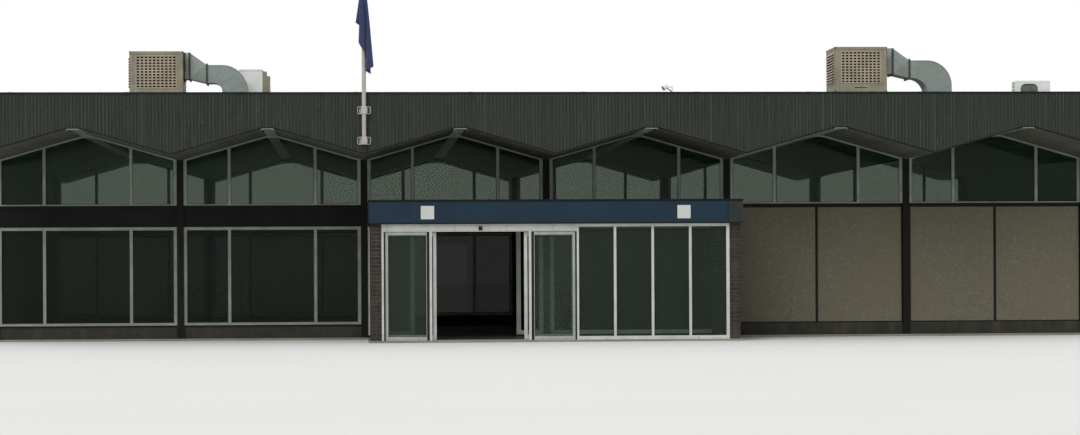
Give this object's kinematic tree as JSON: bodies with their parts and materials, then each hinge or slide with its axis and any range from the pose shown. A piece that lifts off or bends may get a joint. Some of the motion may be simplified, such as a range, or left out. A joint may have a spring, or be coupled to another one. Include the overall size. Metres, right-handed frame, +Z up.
{
  "type": "railway station building",
  "caption": "Single-storey station hall with a folded roof, deep dark zigzag fascia, glazed walls and a projecting entrance with sliding doors.",
  "frame": {"origin": "ground level, on the centre line of the hall's footprint, midway between its front and back glazed walls", "axes": "X along the front towards the right-hand end, the front faces -Y, Z up"},
  "size_m": [25.432, 19.006, 7.98],
  "materials": {
    "concrete": "worn concrete",
    "black_steel": "satin black paint",
    "brick": "dark brown-red brick",
    "soffit_board": "dark painted boarding",
    "grey_aluminium": "weathered anodised",
    "ribbed_fascia": "dark charcoal ribbed boards",
    "roof_membrane": "grey membrane",
    "window_glass": "clear",
    "black_panel": "black panel",
    "plinth_render": "dark painted render",
    "aggregate": "exposed pebble aggregate",
    "navy_sign": "satin navy panel",
    "silver_aluminium": "natural anodised",
    "door_glass": "clear",
    "white_paint": "white gloss paint",
    "navy_cloth": "woven flag cloth",
    "beige_metal": "weathered beige enamel",
    "galvanised_metal": "dull galvanised sheet"
  },
  "bodies": {
    "building": {"floor_slab": "concrete", "front_columns": "black_steel", "back_columns": "black_steel", "left_party_wall": "brick", "right_party_wall": "brick", "soffit_left_slopes": "soffit_board", "soffit_right_slopes": "soffit_board", "ridge_strips": "black_panel", "front_fascia": "ribbed_fascia", "back_fascia": "ribbed_fascia", "left_fascia": "ribbed_fascia", "right_fascia": "ribbed_fascia", "fascia_capping": "black_steel", "roof_deck": "roof_membrane", "front_clerestory_frames": "grey_aluminium", "back_clerestory_frames": "grey_aluminium", "front_clerestory_glass": "window_glass", "back_clerestory_glass": "window_glass", "front_window_frames": "grey_aluminium", "back_window_frames": "grey_aluminium", "front_window_glass": "window_glass", "back_window_glass": "window_glass", "front_spandrels": "black_panel", "back_spandrels": "black_panel", "front_plinths": "plinth_render", "back_plinths": "plinth_render", "front_aggregate_panels": "aggregate", "back_aggregate_panels": "aggregate", "panel_backing_walls": "black_panel", "entrance_left_wall": "brick", "entrance_right_wall": "brick", "sign_band": "navy_sign", "sign_end": "black_panel", "sign_capping": "black_steel", "entrance_roof": "roof_membrane", "entrance_posts": "silver_aluminium", "entrance_rails": "silver_aluminium", "door_header": "silver_aluminium", "sidelight_frames": "silver_aluminium", "entrance_glass": "door_glass", "inner_screen_frames": "silver_aluminium", "inner_screen_glass": "door_glass", "flagpole": "white_paint", "flagpole_brackets": "white_paint", "flag": "navy_cloth", "cooler_cabinets": "beige_metal", "cooler_louvres": "beige_metal", "cooler_ducts": "galvanised_metal", "rear_unit": "white_paint", "condenser": "white_paint", "roof_lamp": "galvanised_metal"},
    "left_leaf": {"left_leaf_frame": "silver_aluminium", "left_leaf_glass": "door_glass"},
    "right_leaf": {"right_leaf_frame": "silver_aluminium", "right_leaf_glass": "door_glass"}
  },
  "joints": [
    {"name": "left_leaf_slide", "type": "slide", "parent": "building", "child": "left_leaf", "axis": [1, 0, 0], "range_m": [0, 0.943]},
    {"name": "right_leaf_slide", "type": "slide", "parent": "building", "child": "right_leaf", "axis": [-1, 0, 0], "range_m": [0, 0.943]}
  ],
  "couplings": [
    {"joint": "right_leaf_slide", "follows": "left_leaf_slide", "ratio": 1}
  ]
}
